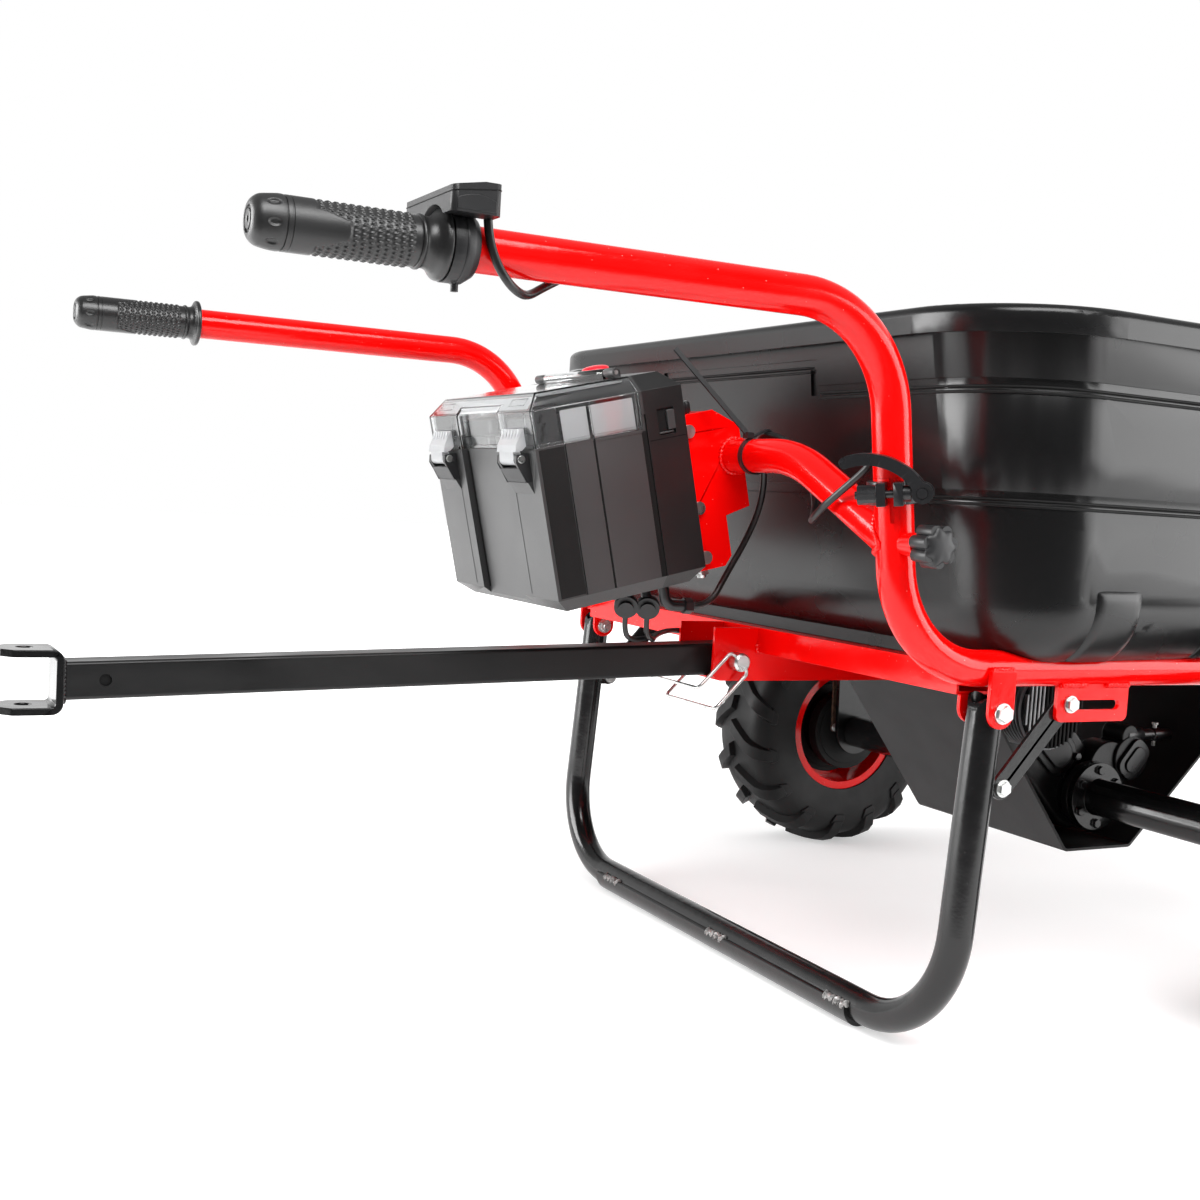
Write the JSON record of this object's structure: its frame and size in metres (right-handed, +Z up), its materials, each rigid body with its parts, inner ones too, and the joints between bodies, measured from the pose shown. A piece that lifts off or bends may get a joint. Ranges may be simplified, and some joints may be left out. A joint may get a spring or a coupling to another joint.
{
  "type": "electric wheelbarrow",
  "caption": "Battery-driven wheelbarrow: moulded tub on a bent tube frame with driven wheels, twist throttle, battery box, folding stand and tow bar.",
  "frame": {"origin": "on the ground under the middle of the barrow's overall box", "axes": "+X forward, from the handles to the tub's front; +Y to the left; +Z up"},
  "size_m": [1.53, 0.9, 0.6418],
  "materials": {
    "red_paint": "gloss",
    "black_paint": "gloss",
    "tub_plastic": "satin",
    "box_plastic": "satin",
    "clear_plastic": "gloss",
    "black_plastic": "satin",
    "grip_rubber": "matte",
    "cable_jacket": "satin",
    "black_metal": "satin",
    "zinc": "satin",
    "cast_housing": "satin",
    "motor_alloy": "satin",
    "tyre_rubber": "matte",
    "red_plastic": "gloss"
  },
  "bodies": {
    "chassis": {"base_tube_right": "red_paint", "base_tube_left": "red_paint", "rear_beam": "red_paint", "front_beam": "red_paint", "tub": "tub_plastic", "tub_bolts": "zinc", "axle_hangers": "black_paint", "belly_guard": "black_paint", "stand_brackets": "red_paint", "slot_brackets": "red_paint", "stand_bolts": "zinc", "clamp_right": "black_metal", "clamp_left": "black_metal", "clamp_bolts": "black_metal", "battery_arm": "red_paint", "battery_bracket": "red_paint", "bracket_bolts": "zinc", "battery_box": "box_plastic", "box_pins": "zinc", "battery_packs": "black_plastic", "cable_gland": "zinc", "lead_sockets": "black_plastic", "motor_leads": "cable_jacket", "cable_tie": "black_plastic", "throttle_cable_lower": "cable_jacket", "hitch_bracket": "red_paint", "tow_bar": "black_paint", "clevis": "black_paint", "hitch_pin": "zinc", "hitch_spacers": "zinc", "gearbox": "cast_housing", "motor": "motor_alloy", "axle_tubes": "black_paint", "axle_bearings": "zinc"},
    "right_handle": {"handle_right": "red_paint", "throttle_housing": "black_plastic", "control_box": "black_plastic", "throttle_cable_upper": "cable_jacket"},
    "left_handle": {"handle_left": "red_paint", "grip_left": "grip_rubber"},
    "throttle": {"throttle_sleeve": "grip_rubber"},
    "right_cam_lever": {"cam_lever_right": "black_metal"},
    "left_cam_lever": {"cam_lever_left": "black_metal"},
    "right_knob": {"star_knob_right": "black_plastic"},
    "left_knob": {"star_knob_left": "black_plastic"},
    "lid": {"box_lid": "clear_plastic"},
    "right_latch": {"latch_right": "clear_plastic"},
    "left_latch": {"latch_left": "clear_plastic"},
    "button": {"power_button": "red_plastic"},
    "fold_stand": {"stand": "black_paint"},
    "strut_pair": {"struts": "black_paint", "strut_bolts": "zinc"},
    "bail": {"hitch_bail": "zinc"},
    "right_wheel": {"half_shaft_right": "black_paint", "rim_right": "red_paint", "tyre_right": "tyre_rubber"},
    "left_wheel": {"half_shaft_left": "black_paint", "rim_left": "red_paint", "tyre_left": "tyre_rubber"}
  },
  "joints": [
    {"name": "right_wheel_turn", "type": "hinge", "parent": "chassis", "child": "right_wheel", "pos_m": [0.35, -0.398, 0.158], "axis": [0, 1, 0], "continuous": true},
    {"name": "left_wheel_turn", "type": "hinge", "parent": "chassis", "child": "left_wheel", "pos_m": [0.35, 0.398, 0.158], "axis": [0, 1, 0], "continuous": true},
    {"name": "right_handle_slide", "type": "slide", "parent": "chassis", "child": "right_handle", "axis": [-0.1323, 0, 0.9912], "range_m": [0, 0.05], "deforming": ["throttle_cable_lower"]},
    {"name": "left_handle_slide", "type": "slide", "parent": "chassis", "child": "left_handle", "axis": [-0.1323, 0, 0.9912], "range_m": [0, 0.05]},
    {"name": "throttle_twist", "type": "hinge", "parent": "right_handle", "child": "throttle", "pos_m": [-0.595, -0.334, 0.605], "axis": [1, 0, 0], "range_deg": [0, 70], "stiffness_Nm_per_rad": 0.25},
    {"name": "right_cam_open", "type": "hinge", "parent": "chassis", "child": "right_cam_lever", "pos_m": [-0.16061, -0.36865, 0.46693], "axis": [0.6978, 0.7102, 0.0931], "range_deg": [0, 110]},
    {"name": "left_cam_open", "type": "hinge", "parent": "chassis", "child": "left_cam_lever", "pos_m": [-0.16061, 0.36865, 0.46693], "axis": [-0.6978, 0.7102, -0.0931], "range_deg": [0, 110]},
    {"name": "right_knob_turn", "type": "hinge", "parent": "chassis", "child": "right_knob", "pos_m": [-0.15486, -0.334, 0.428], "axis": [0, -1, 0], "continuous": true},
    {"name": "left_knob_turn", "type": "hinge", "parent": "chassis", "child": "left_knob", "pos_m": [-0.15486, 0.334, 0.428], "axis": [0, 1, 0], "continuous": true},
    {"name": "lid_open", "type": "hinge", "parent": "chassis", "child": "lid", "pos_m": [-0.27245, -0.008, 0.55922], "axis": [0, 1, 0], "range_deg": [0, 100]},
    {"name": "right_latch_open", "type": "hinge", "parent": "chassis", "child": "right_latch", "pos_m": [-0.36846, -0.087, 0.47724], "axis": [0, -1, 0], "range_deg": [0, 80]},
    {"name": "left_latch_open", "type": "hinge", "parent": "chassis", "child": "left_latch", "pos_m": [-0.36846, 0.071, 0.47724], "axis": [0, -1, 0], "range_deg": [0, 80]},
    {"name": "button_press", "type": "slide", "parent": "chassis", "child": "button", "axis": [0.2334, 0, -0.9724], "range_m": [0, 0.003], "stiffness_N_per_m": 400},
    {"name": "stand_fold", "type": "hinge", "parent": "chassis", "child": "fold_stand", "pos_m": [-0.0505, 0, 0.297], "axis": [0, -1, 0], "range_deg": [0, 35]},
    {"name": "strut_swing", "type": "hinge", "parent": "fold_stand", "child": "strut_pair", "pos_m": [-0.0295, 0, 0.233], "axis": [0, 1, 0], "range_deg": [0, 54]},
    {"name": "bail_swing", "type": "hinge", "parent": "chassis", "child": "bail", "pos_m": [-0.093, -0.042, 0.2984], "axis": [-0.7071, 0, 0.7071], "range_deg": [0, 55]}
  ],
  "couplings": [
    {"joint": "strut_swing", "follows": "stand_fold", "ratio": 1.533}
  ]
}
